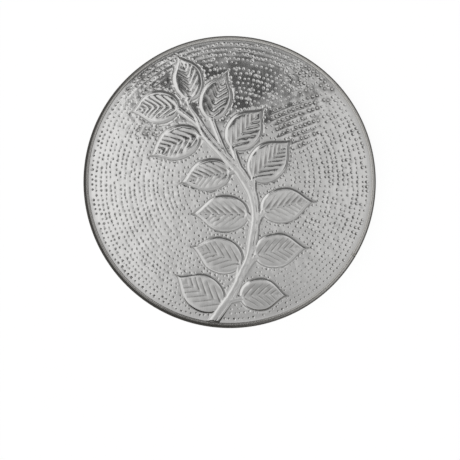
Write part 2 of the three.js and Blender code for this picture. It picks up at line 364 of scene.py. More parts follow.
class Leaf(Raised):
    """One leaf: its midrib, its outline and how high it stands over the ground."""

    chased = True

    def __init__(self, base, tip, fullness, bend, root, veins):
        self.base = np.array(base) * FIELD_RADIUS
        self.tip = np.array(tip) * FIELD_RADIUS
        axis = self.tip - self.base
        self.length = math.hypot(*axis)
        self.control = (self.base + self.tip) / 2 + 2 * bend * np.array([-axis[1], axis[0]])
        self.half = fullness * self.length / 2
        self.root = root
        self.period = VEINED_LENGTH * self.length / (veins + 0.6)
        self.start = FIRST_VEIN * self.length + random.uniform(-0.6, 0.6)
        self.bold_side = -1 if axis[0] < -abs(axis[1]) else 1
        upper = fade(base[1], *UPPER_LEAVES)
        lower = fade(base[1], *LOWER_LEAVES)
        topmost = fade(tip[1], *TOPMOST_LEAVES)
        self.depth = VEIN_DEPTH * random.uniform(0.85, 1.15) * mixed(1, UPPER_DEPTH, upper)
        self.depth *= mixed(1, LOWER_DEPTH, lower) * mixed(1, TOP_DEPTH, topmost)
        self.facet_share = FACET_SHARE * mixed(1, LOWER_FACETS, lower) * mixed(1, TOP_FACETS, topmost)
        self.left_grooves = mixed(1, TOP_LEFT_GROOVES, topmost)
        self.groove_shade = mixed(GROOVE_PAINTED_SHADE, LOWER_GROOVE_PAINTED_SHADE, lower)
        self.dish = DISH * mixed(1, TOP_DISH, fade(base[1], *DISHED_LEAVES))
        self.outline = self.parallel(0, 180)
        self.enclose(self.outline, 0)

    def share(self, u):
        """Share of the full width at shares along the midrib."""
        base = np.sqrt(np.clip(1 - ((LEAF_WIDEST - u) / LEAF_WIDEST) ** 2, 0, 1))
        fall = np.clip((u - LEAF_WIDEST) / (1 - LEAF_WIDEST), 0, 1)
        tip = (1 + np.cos(np.pi * fall ** TIP_DELAY)) / 2
        return np.where(u < LEAF_WIDEST, base, tip)

    def midrib(self, u):
        u = np.asarray(u)[:, None]
        point = (1 - u) ** 2 * self.base + 2 * u * (1 - u) * self.control + u ** 2 * self.tip
        tangent = 2 * (1 - u) * (self.control - self.base) + 2 * u * (self.tip - self.control)
        return point, tangent

    def place(self, points):
        """Share along the midrib, and distance from it, positive to its left."""
        axis = self.tip - self.base
        u = np.clip((points - self.base) @ axis / self.length ** 2, -0.2, 1.2)
        bow = 2 * (self.base - 2 * self.control + self.tip)
        for _ in range(4):
            point, tangent = self.midrib(u)
            gap = point - points
            slope = (tangent ** 2).sum(1) + gap @ bow
            u = np.clip(u - (gap * tangent).sum(1) / slope, -0.3, 1.3)
        point, tangent = self.midrib(u)
        tangent = unit(tangent)
        gap = points - point
        return u, tangent[:, 0] * gap[:, 1] - tangent[:, 1] * gap[:, 0]

    def parallel(self, inset, count):
        """A closed line inside the outline at a distance, or outside it where inset is negative."""
        u = (1 - np.cos(np.linspace(0, np.pi, count // 2 + 1))) / 2
        point, tangent = self.midrib(u)
        out = (self.half * self.share(u))[:, None] * turned_left(unit(tangent))
        loop = np.concatenate([(point + out), (point - out)[-2:0:-1]])
        if inset == 0:
            return loop
        ahead = unit(np.roll(loop, -1, axis=0) - np.roll(loop, 1, axis=0))
        moved = loop - inset * turned_left(ahead)
        far = np.abs(distance_inside(loop, moved)) > abs(inset) - 0.06
        return moved[far]

    def relief(self, points):
        """Height over the ground, distance inside the outline, and painted shade."""
        inside = distance_inside(self.outline, points)
        u, aside = self.place(points)
        across = np.abs(aside)
        half = np.maximum(self.half * self.share(u), 1.0)
        border = mixed(smooth(inside / SOFT_BORDER), smooth(inside / STEEP_BORDER), STEEP_SHARE)
        blade = fade(inside, BLADE_START, BLADE_FULL)
        ends = fade(u, 0.04, 0.1) * fade(u, TIP_START, 0.78)
        midrib = MIDRIB_DEPTH * np.exp(-(aside / MIDRIB_WIDTH) ** 2) * ends
        dished = self.dish * (1 - smooth(across / half / DISH_REACH))
        bold = mixed(FAINT_SIDE, 1, smooth(0.5 + SIDE_CHANGE * aside * self.bold_side))
        wedge, shade, groove = self.facets(u * self.length, across)
        veined = blade * mixed(0.4, 1, smooth(across / 2.4)) * fade(u, VEINS_END, 0.7)
        cut = GROOVE_DEPTH * mixed(1, self.left_grooves, smooth(0.5 + SIDE_CHANGE * aside))
        veins = self.depth * bold * wedge + cut * groove
        height = LEAF_RISE * border - veined * veins - blade * dished - midrib
        # Painted shade in the vein facets, stronger on the bold half of the leaf, and along the vein lines
        shade = veined * np.maximum(bold * shade, self.groove_shade * groove)
        # Painted shade towards the leaf's tip
        shade = np.maximum(shade, TIP_PAINTED_SHADE * fade(u, TIP_START, 0.96))
        return np.where(inside > 0, height, 0), inside, np.where(inside > 0, shade, 0)

    def facets(self, along, across):
        """Shares of the side veins: wedges that rise from a line to a crest, their painted shade, and the
        line.
        """
        past = along - VEIN_LEAN * across - self.start
        closing = 1 - VEIN_CLOSING * past / self.length
        turns = -self.length / (VEIN_CLOSING * self.period) * np.log(closing)
        share = turns - np.floor(turns)
        out = np.clip(across / (VEIN_REACH * self.half), 0, 1)
        crest = self.crest(across)
        wedge = np.where(share < crest, 1 - share / crest, (share - crest) / (1 - crest))
        line = np.minimum(share, 1 - share) * self.period * closing / math.hypot(1, VEIN_LEAN)
        reached = smooth(4 * (GROOVE_REACH - across / self.half / VEIN_REACH))
        groove = np.exp(-(line / GROOVE_WIDTH) ** 2) * reached
        shade = np.where(share < crest, 1 - (share / crest) ** 2, 0) * smooth(1.6 * (1 - out))
        return wedge * (1 - out) ** 0.7, FACET_PAINTED_SHADE * shade, groove

    def crest(self, across):
        """Share of the step from one side vein to the next at which the crest stands."""
        return self.facet_share * (1 - CREST_CLOSING * np.clip(across / (VEIN_REACH * self.half), 0, 1))

    def rows(self):
        """Lines that follow the outline, then points along the tip and the side veins."""
        lines = [self.parallel(inset, 150) for inset in (-1.5, -0.4, 0.4, 1.2, 2.1, 3.2, 4.4)]
        places = []
        across = np.arange(0, self.half, 1.25)
        for row in range(-5, 14):
            for share in (-0.12, 0.0, 0.12, self.crest(across)):
                turned = VEIN_CLOSING * self.period / self.length * (row + share)
                past = self.length / VEIN_CLOSING * (1 - np.exp(-turned))
                u = (self.start + past + VEIN_LEAN * across) / self.length
                inside = (u > 0) & (u < 1)
                point, tangent = self.midrib(u[inside])
                left = turned_left(unit(tangent))
                for side in (-1, 1):
                    places.append(point + side * across[inside][:, None] * left)
        places = np.concatenate(places)
        blade = places[distance_inside(self.outline, places) > 4.8]
        point, _ = self.midrib(np.linspace(VEINS_END, 1.0, 13))
        return lines, np.concatenate([point, blade])


class Stalk(Raised):
    """A raised band along a line: the stem, or the stalk of a leaf."""

    chased = False

    def __init__(self, line, half_width, rise, across, heights):
        self.line = line
        self.half_width = half_width
        self.rise = rise
        self.across = across
        self.heights = heights
        self.ahead = unit(np.gradient(line, axis=0))
        self.enclose(line, half_width.max())

    def relief(self, points):
        """Height over the ground, distance inside the edges, and painted shade, which is none here."""
        nearest = np.concatenate([
            ((part[:, None] - self.line[None]) ** 2).sum(2).argmin(1)
            for part in np.array_split(points, max(1, len(points) // 4000))
        ])
        gap = points - self.line[nearest]
        ahead = self.ahead[nearest]
        aside = gap[:, 0] * ahead[:, 1] - gap[:, 1] * ahead[:, 0]
        past = np.abs((gap * ahead).sum(1))
        half = self.half_width[nearest]
        height = self.rise[nearest] * np.interp(aside / half, self.across, self.heights)
        inside = half - np.abs(aside)
        ended = past > 1.5
        inside = np.where(ended, -np.hypot(past, np.maximum(-inside, 0)), inside)
        return np.where(inside > 0, height, 0), inside, 0

    def rows(self, step, shares):
        """Points a step apart, along lines at some shares of the half width."""
        length = lengths(self.line)
        stops = np.linspace(0, length[-1], max(3, int(length[-1] / step)))
        whole = np.arange(len(length))
        index = np.interp(stops, length, whole)
        places = []
        for share in shares:
            edge = self.line - turned_left(self.ahead) * (share * self.half_width)[:, None]
            places.append(np.stack([np.interp(index, whole, edge[:, k]) for k in (0, 1)], 1))
        return np.concatenate(places)


def spline(stations, per_span):
    """A centripetal curve through the stations, as the CAD part's stem runs."""
    points = np.array(stations, float)
    first = 2 * points[0] - points[1]
    last = 2 * points[-1] - points[-2]
    points = np.concatenate([[first], points, [last]])
    curve = []
    for i in range(1, len(points) - 2):
        four = points[i - 1:i + 3]
        knots = np.cumsum([0, *np.hypot(*np.diff(four[:, :2], axis=0).T) ** 0.5])
        for t in np.linspace(knots[1], knots[2], per_span, endpoint=False):
            level = four
            for spans in (((0, 1), (1, 2), (2, 3)), ((0, 2), (1, 3)), ((1, 2),)):
                shares = [(t - knots[a]) / (knots[b] - knots[a]) for a, b in spans]
                level = [mixed(level[k], level[k + 1], share) for k, share in enumerate(shares)]
            curve.append(level[0])
    curve.append(points[-2])
    return np.array(curve)


def make_stem():
    curve = spline([(x * FIELD_RADIUS, y * FIELD_RADIUS, width) for x, y, width in STEM], STEM_STEPS)
    line = curve[:, :2]
    length = lengths(line)
    rise = STEM_RISE * np.clip((length[-1] - length) / 5, 0.02, 1)
    return Stalk(line, curve[:, 2] * STEM_WIDTH / 2, rise, STEM_ACROSS, STEM_HEIGHT)


def make_stalk(leaf, stem):
    start = stem.line[int(round(leaf.root * STEM_STEPS))]
    _, ahead = leaf.midrib(np.array([0.0]))
    end = leaf.base + unit(ahead)[0] * STALK_REACH
    t = np.linspace(0, 1, 40)[:, None]
    line = (1 - t) ** 2 * start + 2 * t * (1 - t) * leaf.base + t ** 2 * end
    rise = STALK_RISE * np.clip((1 - t[:, 0]) / 0.25, 0.02, 1)
    half = mixed(STALK_FOOT, STALK_NECK, smooth(1.6 * t[:, 0])) / 2
    return Stalk(line, half, rise, STALK_ACROSS, STALK_HEIGHT)


leaves = [Leaf(*leaf) for leaf in LEAVES]
stem = make_stem()
stalks = [stem] + [make_stalk(leaf, stem) for leaf in leaves]


def branch(points):
    """Height of the branch over the ground, distance inside its nearest edge, and the painted shade on it."""
    height = np.zeros(len(points))
    inside = np.full(len(points), -99.0)
    chased = np.zeros(len(points))
    tarnish = np.zeros(len(points))
    for form in leaves + stalks:
        near = form.near(points)
        if not near.any():
            continue
        raised, distance, shade = form.relief(points[near])
        tarnish[near] = np.where(raised > height[near], shade, tarnish[near])
        height[near] = np.maximum(height[near], raised)
        inside[near] = np.maximum(inside[near], distance)
        if form.chased:
            line = np.exp(-((distance + CHASED_OUT) / CHASED_WIDTH) ** 2)
            chased[near] = np.maximum(chased[near], line)
    ground = -CHASED_DEPTH * chased * (inside < 0.6)
    height = np.where(height > 0.02, height + ground, ground)
    in_field = fade(np.hypot(*points.T), FIELD_RADIUS, FIELD_RADIUS - 2)
    # Painted shade along the foot of the leaves, the stem and the stalks
    painted_crease = CREASE_PAINTED_SHADE * np.exp(-((inside + CREASE_OUT) / CREASE_WIDTH) ** 2)
    return height * in_field, inside, np.maximum(tarnish, painted_crease)


def make_waves(shortest, longest):
    """Waves of random length, direction and phase."""
    return [
        (random.uniform(shortest, longest), random.uniform(0, math.tau), random.uniform(0, math.tau))
        for _ in range(WAVE_COUNT)
    ]


SLOW_WAVES = make_waves(26, 70)
SHORT_WAVES = make_waves(9, 19)


def waved(points, waves):
    height = np.zeros(len(points))
    for length, direction, phase in waves:
        along = points @ np.array([math.cos(direction), math.sin(direction)])
        height += np.sin(math.tau * along / length + phase) / len(waves) * 1.7
    return height


def top_share(y):
    """1 in the upper part of the field, and 0 elsewhere."""
    return fade(y, *TOP_ZONE)


def hammered(points):
    """Unevenness of the hand-worked sheet, which dies away towards the rim."""
    x, y = points.T
    even = top_share(y) * fade(x, -115, -75) * fade(x, 100, 60)
    height = HAMMERED * (waved(points, SLOW_WAVES) + 1)
    height += DENTED * (1 - 0.75 * even) * waved(points, SHORT_WAVES)
    return height * fade(np.hypot(x, y), *HAMMERED_END)


def lifted_edge(points):
    """The sheet curls up a little where it meets the band, except at the top."""
    out = np.maximum(np.hypot(*points.T), 1)
    curl = np.clip((out - FIELD_RADIUS) / LIFT_WIDTH + 1, 0, 1) ** 2
    curl = curl * fade(out, FIELD_RADIUS + 1.2, FIELD_RADIUS)
    return EDGE_LIFT * curl * fade(points[:, 1] / out, 0.76, 0.64)


def slanting_row(row, step):
    """Points a step apart along one of the slanting rows, or between two of them."""
    stops = np.arange(0, SLANT_LENGTH - SLANT_SHRINK * row, step)[:, None]
    return SLANT_START + row * SLANT_STEP + stops * SLANT_ALONG - SLANT_BOW * stops ** 2 * SLANT_ACROSS


def slant_place(points):
    """The slanting row that points lie on, and how far they are within the rows."""
    gap = points - SLANT_START
    along = gap @ SLANT_ALONG
    row = (gap @ SLANT_ACROSS + SLANT_BOW * along ** 2) / (SLANT_STEP @ SLANT_ACROSS)
    along = along - row * (SLANT_STEP @ SLANT_ALONG)
    end = SLANT_LENGTH - SLANT_SHRINK * row
    within = fade(row, -1, 0.5) * fade(row, SLANT_ROWS + 0.5, SLANT_ROWS - 1.5)
    return row, within * fade(along, -6, 2) * fade(along, end, end - 35)


def ridges(points):
    """Low uneven ridges between the rows of pits."""
    out = np.hypot(*points.T)
    angle = np.arctan2(points[:, 1], points[:, 0])
    arcs = fade(np.abs(angle - ARC_MIDDLE), ARC_SPREAD, ARC_SPREAD - 0.3)
    arcs = arcs * fade(out, ARC_RADIUS, ARC_RADIUS + 6)
    height = RIDGE_RISE * fade(points[:, 0], -40, -100) + ARC_RISE * arcs
    height = height * (1 + 0.6 * waved(points, SLOW_WAVES))
    rings = -height * np.cos(math.tau * (out - FIRST_ROW) / ROW_PITCH) * fade(out, 187, 183)
    row, within = slant_place(points)
    return rings - SLANT_RISE * within * np.cos(math.tau * row)


class Crowd:
    """Points kept at a least distance from each other."""

    def __init__(self, cell):
        self.cell = cell
        self.places = {}

    def clear(self, x, y, least):
        reach = math.ceil(least / self.cell)
        column, row = math.floor(x / self.cell), math.floor(y / self.cell)
        for i in range(column - reach, column + reach + 1):
            for j in range(row - reach, row + reach + 1):
                for px, py in self.places.get((i, j), ()):
                    if (px - x) ** 2 + (py - y) ** 2 < least * least:
                        return False
        return True

    def add(self, x, y):
        key = (math.floor(x / self.cell), math.floor(y / self.cell))
        self.places.setdefault(key, []).append((x, y))


def spaced_along(line, pitch):
    """Points a pitch apart along a closed line."""
    closed = np.concatenate([line, line[:1]])
    length = lengths(closed)
    stops = np.arange(0, length[-1] - pitch / 2, pitch)
    return np.stack([np.interp(stops, length, closed[:, k]) for k in (0, 1)], 1)


def pit_rows():
    """Rows of marks round the leaves, slanting and in rings, with their shares of troughs and beads."""
    rows = []
    for leaf in leaves:
        places = spaced_along(leaf.parallel(-LEAF_ROW_OUT, 240), LEAF_ROW_PITCH)
        places = places + random.normal(0, 0.3, places.shape)
        kept = random.random(len(places)) < LEAF_ROW_KEPT
        rows.append((places[kept], LEAF_TROUGHS, 0.0))
    for row in range(SLANT_ROWS):
        places = slanting_row(row, PIT_PITCH)
        count = round(len(places) * random.uniform(0.75, 1.1))
        rows.append((places[:count], SLANT_TROUGHS, BEAD_SHARE))
    for row in range(RING_ROWS):
        if row % BLOCK_ROWS == 0:
            groups = ring_groups(FIRST_ROW - (row + BLOCK_ROWS / 2) * ROW_PITCH)
        radius = FIRST_ROW - row * ROW_PITCH
        phase = random.uniform(-0.5, 0.5) * PIT_PITCH / radius
        places = []
        for group in groups:
            aside = random.normal(0, 0.5)
            lean = random.normal(0, 0.14)
            for step, angle in enumerate(group):
                out = radius + aside + lean * step
                angle = angle + phase * fade(math.cos(angle), 0.75, 0.4)
                places.append((out * math.cos(angle), out * math.sin(angle)))
        places = np.array(places)
        rows.append((places[slant_place(places)[1] < SLANT_BARE], RING_TROUGHS, 0.0))
    return rows


def ring_groups(radius):
    """Angles of the marks in a band of rings, in groups of a few."""
    pitch = PIT_PITCH / radius
    angle = random.uniform(-0.05, 0.05) - math.pi
    end = angle + math.tau - 0.7 * pitch
    groups = []
    while angle < end:
        group = []
        for _ in range(int(random.integers(4, 7))):
            if angle < end:
                group.append(angle)
            angle += pitch * random.uniform(0.93, 1.07)
        groups.append(group)
        angle += random.uniform(-0.1, 0.25) * pitch
    return groups


def pit_at(x, y, sizes, rings=PIT_RINGS):
    """A pit (x, y, radius, depth, tarnish and painted shade, stretch, rings) of a size picked between two
    shares.
    """
    top = top_share(y)
    right = fade(x, *RIGHT_FROM) * fade(y, *RIGHT_ABOVE)
    radius = PIT_RADIUS * mixed(1, BIG_PITS, right) * random.uniform(*sizes)
    depth = PIT_SLOPE * mixed(1, TOP_SLOPE, top) * radius * random.uniform(0.7, 1.2)
    for patch_x, patch_y, reach in FAINT_PATCHES:
        depth *= mixed(0.4, 1, smooth(math.hypot(x - patch_x, y - patch_y) / reach - 0.4))
    stretch = 1 + (PIT_STRETCH - 1) * (1 - top) * random.uniform(0, 2)
    if rings is PIT_RINGS:
        pit_tarnish_and_shade = mixed(1, TOP_TARNISH_AND_SHADE, top) * (1 + 0.1 * right)
    else:
        pit_tarnish_and_shade = 1 + 0.15 * (1 - top)
    pit_tarnish_and_shade *= random.uniform(0.7, 1.1)
    return x, y, radius, depth, pit_tarnish_and_shade, stretch, rings


def patch_beads(x, y):
    """Share of beads in the patches outside the slanting rows."""
    gaps = [math.hypot(x - patch_x, y - patch_y) / reach for patch_x, patch_y, reach in BEAD_PATCHES]
    return BEAD_SHARE * smooth(2 * (1 - min(gaps)))


def punch_pits():
    """Accepted pits, and troughs between neighbours in a row (x, y, direction)."""
    crowd = Crowd(5.0)
    pits = []
    troughs = []
    for places, trough_share, bead_share in pit_rows():
        _, inside, _ = branch(places)
        before = None
        for (x, y), distance in zip(places, inside):
            x += random.normal(0, 0.3)
            y += random.normal(0, 0.3)
            out = math.hypot(x, y)
            apart = PIT_APART + TOP_APART * top_share(y)
            refused = distance > -PIT_CLEARANCE or out > PITS_END or not crowd.clear(x, y, apart)
            if refused or random.random() < PITS_MISSED:
                before = None
                continue
            crowd.add(x, y)
            # Beads: painted shade round the rim of the pit
            if random.random() < max(bead_share, patch_beads(x, y)):
                pits.append(pit_at(x, y, BEAD_SIZES, BEAD_RINGS))
            else:
                pits.append(pit_at(x, y, PIT_SIZES))
            share = ARC_TROUGHS if y > 110 and out > ARC_RADIUS else trough_share
            if before is not None and random.random() < share:
                run = np.array([x - before[0], y - before[1]])
                if np.hypot(*run) < 1.4 * PIT_PITCH:
                    troughs.append((*(before + run / 2), math.atan2(run[1], run[0])))
            before = np.array([x, y])
    return pits + filling_pits(crowd), troughs


def filling_pits(crowd):
    """Smaller pits wherever the rows leave room."""
    pits = []
    grid = np.arange(-183, 184, FILL_GRID)
    spots = np.stack(np.meshgrid(grid, grid), 2).reshape(-1, 2)
    spots = spots + random.uniform(-0.9, 0.9, spots.shape)
    spots = spots[(np.hypot(*spots.T) < 183) & (slant_place(spots)[1] < SLANT_BARE)]
    _, inside, _ = branch(spots)
    for (x, y), distance in zip(spots, inside):
        if distance < -PIT_CLEARANCE and crowd.clear(x, y, PIT_FILL + TOP_APART * top_share(y)):
            crowd.add(x, y)
            pits.append(pit_at(x, y, FILL_SIZES))
    return pits


def pit_marks(pits, troughs):
    """Points (x, y, height, tarnish and painted shade) of the pits and the troughs."""
    marks = []
    for x, y, size, depth, pit_tarnish_and_shade, stretch, rings in pits:
        marks.append((x, y, -depth, PIT_FLOOR_DARK * rings[0][2] * pit_tarnish_and_shade))
        # Painted shade: a plain pit's tarnish is cleared from the side away from the shaded one, so that side
        # reads as lit
        lit_clearing = LIT_SIDE_CLEARING if rings is PIT_RINGS else 0.0
        turn = (x * 7.1 + y * 3.7) % 1.0
        outward = np.array([x, y]) / math.hypot(x, y)
        for out, share, dark in rings:
            for across, along in ring_points(PIT_SIDES, out * size, turn) * (1 / stretch, stretch):
                px = across * outward[0] - along * outward[1]
                py = across * outward[1] + along * outward[0]
                far = 0.5 - 0.5 * math.cos(math.atan2(py, px) - PAINTED_SHADE_SIDE)
                marks.append((x + px, y + py, -share * depth, dark * pit_tarnish_and_shade * (1 - lit_clearing * far)))
    for x, y, direction in troughs:
        dx, dy = -math.sin(direction), math.cos(direction)
        marks.append((x, y, -TROUGH_DEPTH, TROUGH_DARK))
        for side in (-TROUGH_HALF, TROUGH_HALF):
            marks.append((x + side * dx, y + side * dy, 0.0, 0.0))
    return np.array(marks).reshape(-1, 4)


def form_points(form_step):
    """Points along the ridges, the branch and the curled edge, fewer for a form step of 2."""
    forms = [ring_points(EDGE_COUNT, radius) for radius in (FIELD_RADIUS, 186.4, 185.2)]
    for row in range(RIDGE_ROWS):
        crest = FIRST_ROW - (row + 0.5) * ROW_PITCH
        forms.append(on_circle(crest, np.arange(*RIDGE_SIDE, 4.4 * form_step / crest)))
    for radius in np.arange(FIRST_ROW - 3.5 * ROW_PITCH, 187, ROW_PITCH / 6):
        stops = np.arange(ARC_MIDDLE - ARC_SPREAD, ARC_MIDDLE + ARC_SPREAD, 2.6 * form_step / radius)
        forms.append(on_circle(radius, stops))
    for row in range(SLANT_ROWS):
        for share in (0.3, 0.5, 0.7):
            forms.append(slanting_row(row + share, 3.0 * form_step))
    for leaf in leaves:
        lines, blade = leaf.rows()
        forms.extend(lines[::form_step])
        forms.append(blade[::form_step])
    for stalk in stalks:
        shares = STEM_ACROSS if stalk is stem else (-1.0, -0.6, 0.0, 0.6, 1.0)
        forms.append(stalk.rows(1.8 * form_step, [-1.2, *shares, 1.2]))
    forms = np.concatenate(forms)
    return forms[np.hypot(*forms.T) < FIELD_RADIUS + 0.01]


def gather(pits, troughs, form_step, filler):
    """Places and heights of a sheet's points, its rim first, and the tarnish and painted shade of the pits
    there.
    """
    rim = np.concatenate([ring_points(EDGE_COUNT, radius) for radius in (TRAY_RADIUS, FILLET_RADIUS)])
    marks = pit_marks(pits, troughs)
    crowd = Crowd(1.0)
    pitted = Crowd(5.0)
    for x, y, *_ in pits:
        pitted.add(x, y)
    kept = []
    for x, y in form_points(form_step):
        reach = 1.4 * PIT_RADIUS * (1 + 0.2 * top_share(y))
        if crowd.clear(x, y, 0.5 * form_step) and pitted.clear(x, y, reach):
            crowd.add(x, y)
            kept.append((x, y))
    for x, y in marks[:, :2]:
        crowd.add(x, y)
    grid = np.arange(-184, 185, filler)
    for column in grid:
        for row in grid:
            x = column + random.uniform(-0.3, 0.3) * filler
            y = row + random.uniform(-0.3, 0.3) * filler
            if math.hypot(x, y) < 185 and crowd.clear(x, y, 0.5 * filler):
                kept.append((x, y))
    lift, inside, _ = branch(np.array(kept))
    flat = np.zeros(len(rim))
    places = np.concatenate([rim, kept, marks[:, :2]])
    heights = np.concatenate([flat, lift, marks[:, 2]])
    ground = np.concatenate([flat, fade(inside, 0, -3), np.ones(len(marks))])
    heights = heights + hammered(places) + ground * ridges(places) + lifted_edge(places)
    return places, heights, np.concatenate([flat, np.zeros(len(kept)), marks[:, 3]])


def triangulated(places):
    """The order in which points come out, and the faces between them."""
    rim = [(i, (i + 1) % EDGE_COUNT) for i in range(EDGE_COUNT)]
    points = [Vector(place) for place in places]
    _, _, faces, sources, _, _ = delaunay_2d_cdt(points, rim, [], 1, 1e-5)
    return [source[0] for source in sources], faces


def mesh_object(name, vertices, faces):
    mesh = bpy.data.meshes.new(name)
    mesh.from_pydata([tuple(v) for v in np.asarray(vertices) * MM], [], faces)
    mesh.update()
    mesh.shade_smooth()
    made = bpy.data.objects.new(name, mesh)
    bpy.context.scene.collection.objects.link(made)
    return made


def make_plate():
    """The pressed sheet: its relief on top, the same relief hollow underneath, and its cut edge."""
    pits, troughs = punch_pits()
    top_places, top_heights, tarnish = gather(pits, troughs, 1, TOP_FILLER)
    low_places, low_heights, _ = gather([], [], 2, LOW_FILLER)
    top_ids, top_faces = triangulated(top_places)
    low_ids, low_faces = triangulated(low_places)
    top = np.column_stack([top_places, PLATE_THICKNESS + top_heights])[top_ids]
    low = np.column_stack([low_places, np.maximum(low_heights, 0)])[low_ids]
    low[:EDGE_COUNT, :2] *= (TRAY_RADIUS - PLATE_EDGE_BREAK) / TRAY_RADIUS
    side = np.column_stack([ring_points(EDGE_COUNT, TRAY_RADIUS), np.full(EDGE_COUNT, PLATE_EDGE_BREAK)])
    faces = [tuple(face) for face in top_faces]
    first_side = len(top)
    first_low = first_side + EDGE_COUNT
    for i in range(EDGE_COUNT):
        j = (i + 1) % EDGE_COUNT
        faces.append((i, first_side + i, first_side + j, j))
        faces.append((first_side + i, first_low + i, first_low + j, first_side + j))
    faces += [tuple(first_low + k for k in reversed(face)) for face in low_faces]
    plate = mesh_object("plate", np.concatenate([top, side, low]), faces)
    _, _, shade = branch(top[:, :2])
    _, _, low_shade = branch(low[:, :2])
    shade = np.maximum(shade, tarnish[top_ids])
    # The underside gets a share of the branch's painted shade
    dark = np.concatenate([shade, np.zeros(EDGE_COUNT), UNDERSIDE_PAINTED_SHADE * low_shade])
    # Tarnish in the pits and troughs together with painted shade
    attribute = plate.data.attributes.new("tarnish", "FLOAT", "POINT")
    attribute.data.foreach_set("value", np.asarray(dark, np.float32))
    return plate


def swept(section, angles, closed):
    """A section of (radius, height), which may change with the angle, swept round the tray's axis."""
    vertices = []
    for angle in angles:
        points = section(angle)
        count = len(points)
        for radius, height in points:
            vertices.append((radius * math.cos(angle), radius * math.sin(angle), height))
    faces = []
    turns = len(angles) if closed else len(angles) - 1
    for i in range(turns):
        j = (i + 1) % len(angles)
        for k in range(count):
            n = (k + 1) % count
            faces.append((i * count + k, j * count + k, j * count + n, i * count + n))
    if not closed:
        last = (len(angles) - 1) * count
        faces.append(tuple(range(count)))
        faces.append(tuple(last + k for k in reversed(range(count))))
    return vertices, faces


def rounded_section(inner, outer, low, high, radius):
    """A rectangle in (radius, height) with round corners. Points beside them keep its sides flat."""
    section = []
    corners = ((outer, high, 0), (inner, high, 90), (inner, low, 180), (outer, low, 270))
    for r, z, turn in corners:
        centre_r = r - radius if r == outer else r + radius
        centre_z = z - radius if z == high else z + radius
        for part, past in ((0, -0.2), (0, 0), (1, 0), (2, 0), (3, 0), (3, 0.2)):
            angle = math.radians(turn + 30 * part)
            section.append((
                centre_r + radius * math.cos(angle) - past * math.sin(angle),
                centre_z + radius * math.sin(angle) + past * math.cos(angle),
            ))
    return section


def make_band():
    """The rolled strip, open at the seam."""
    half = SEAM_GAP / 2 / TRAY_RADIUS
    angles = np.linspace(SEAM_ANGLE + half, SEAM_ANGLE + math.tau - half, 361)
    section = rounded_section(BAND_INNER_RADIUS, TRAY_RADIUS, PLATE_THICKNESS, TRAY_HEIGHT, BAND_EDGE_BREAK)
    return mesh_object("band", *swept(lambda angle: section, angles, False))


def make_seam():
    """Solder that fills the butt seam and is filed flush, a little hollow in its middle."""
    half = (SEAM_GAP / 2 - HAIR_GAP) / TRAY_RADIUS

    def section(angle):
        hollow = 0.02 + 0.05 * math.cos((angle - SEAM_ANGLE) / half * math.pi / 2)
        return rounded_section(BAND_INNER_RADIUS + hollow, TRAY_RADIUS - hollow, PLATE_THICKNESS + HAIR_GAP,
                               TRAY_HEIGHT - hollow, BAND_EDGE_BREAK)

    return mesh_object("seam", *swept(section, np.linspace(SEAM_ANGLE - half, SEAM_ANGLE + half, 7), False))


def make_fillet():
    """The solder ring in the inside corner, hollow-faced, a little uneven round the tray."""
    waves = [(int(random.integers(5, 60)), random.uniform(0, math.tau)) for _ in range(8)]
    foot = PLATE_THICKNESS + HAIR_GAP

    def section(angle):
        wave = sum(math.sin(turns * angle + phase) for turns, phase in waves) / len(waves)
        leg = FILLET_LEG * (0.94 + 0.06 * wave)
        points = [(FILLET_RADIUS, foot)]
        for part in range(5):
            turn = math.radians(18 * part)
            points.append((FILLET_RADIUS - leg * (1 - math.sin(turn)), foot + leg * (1 - math.cos(turn))))
        return points

    return mesh_object("fillet", *swept(section, np.arange(432) * math.tau / 432, True))


class Nodes:
    """Short forms for building a node tree."""

    def __init__(self, tree):
        self.tree = tree
        tree.nodes.clear()

    def new(self, kind, inputs, **settings):
        node = self.tree.nodes.new(kind)
        for name, value in settings.items():
            setattr(node, name, value)
        self.feed(node, inputs)
        return node

    def feed(self, node, inputs):
        """Links sockets or sets values, by the name or number of the node's input."""
        for name, value in inputs.items():
            if isinstance(value, bpy.types.NodeSocket):
                self.tree.links.new(value, node.inputs[name])
            else:
                node.inputs[name].default_value = value

    def math(self, operation, first, *others):
        """The operation on the first two values, then on that result and the next value, and so on."""
        for other in others:
            first = self.new("ShaderNodeMath", {0: first, 1: other}, operation=operation).outputs[0]
        return first

    def total(self, *values):
        return self.math("ADD", *values)

    def product(self, *values):
        return self.math("MULTIPLY", *values)

    def largest(self, *values):
        return self.math("MAXIMUM", *values)

    def rest(self, share):
        return self.math("SUBTRACT", 1.0, share)

    def spot(self, places, centre, half):
        """Squared distance of two coordinates from a centre, in half widths."""
        shares = [self.product(self.total(places[k], -centre[k]), 1 / half[k]) for k in (0, 1)]
        return self.total(*(self.product(share, share) for share in shares))

    def ramp(self, value, low, high, to_low=0.0, to_high=1.0):
        inputs = {"Value": value, "From Min": low, "From Max": high, "To Min": to_low, "To Max": to_high}
        return self.new("ShaderNodeMapRange", inputs, interpolation_type="SMOOTHSTEP").outputs[0]

    def noise(self, vector, scale, detail, stretch=(1, 1, 1)):
        scaled = self.new("ShaderNodeMapping", {"Vector": vector, "Scale": stretch}).outputs[0]
        inputs = {"Vector": scaled, "Scale": scale, "Detail": detail}
        return self.new("ShaderNodeTexNoise", inputs).outputs["Fac"]

    def mix(self, share, a, b):
        return self.new("ShaderNodeMix", {0: share, 6: a, 7: b}, data_type="RGBA").outputs[2]

    def bump(self, height, distance, strength):
        inputs = {"Height": height, "Distance": distance, "Strength": strength}
        return self.new("ShaderNodeBump", inputs).outputs[0]


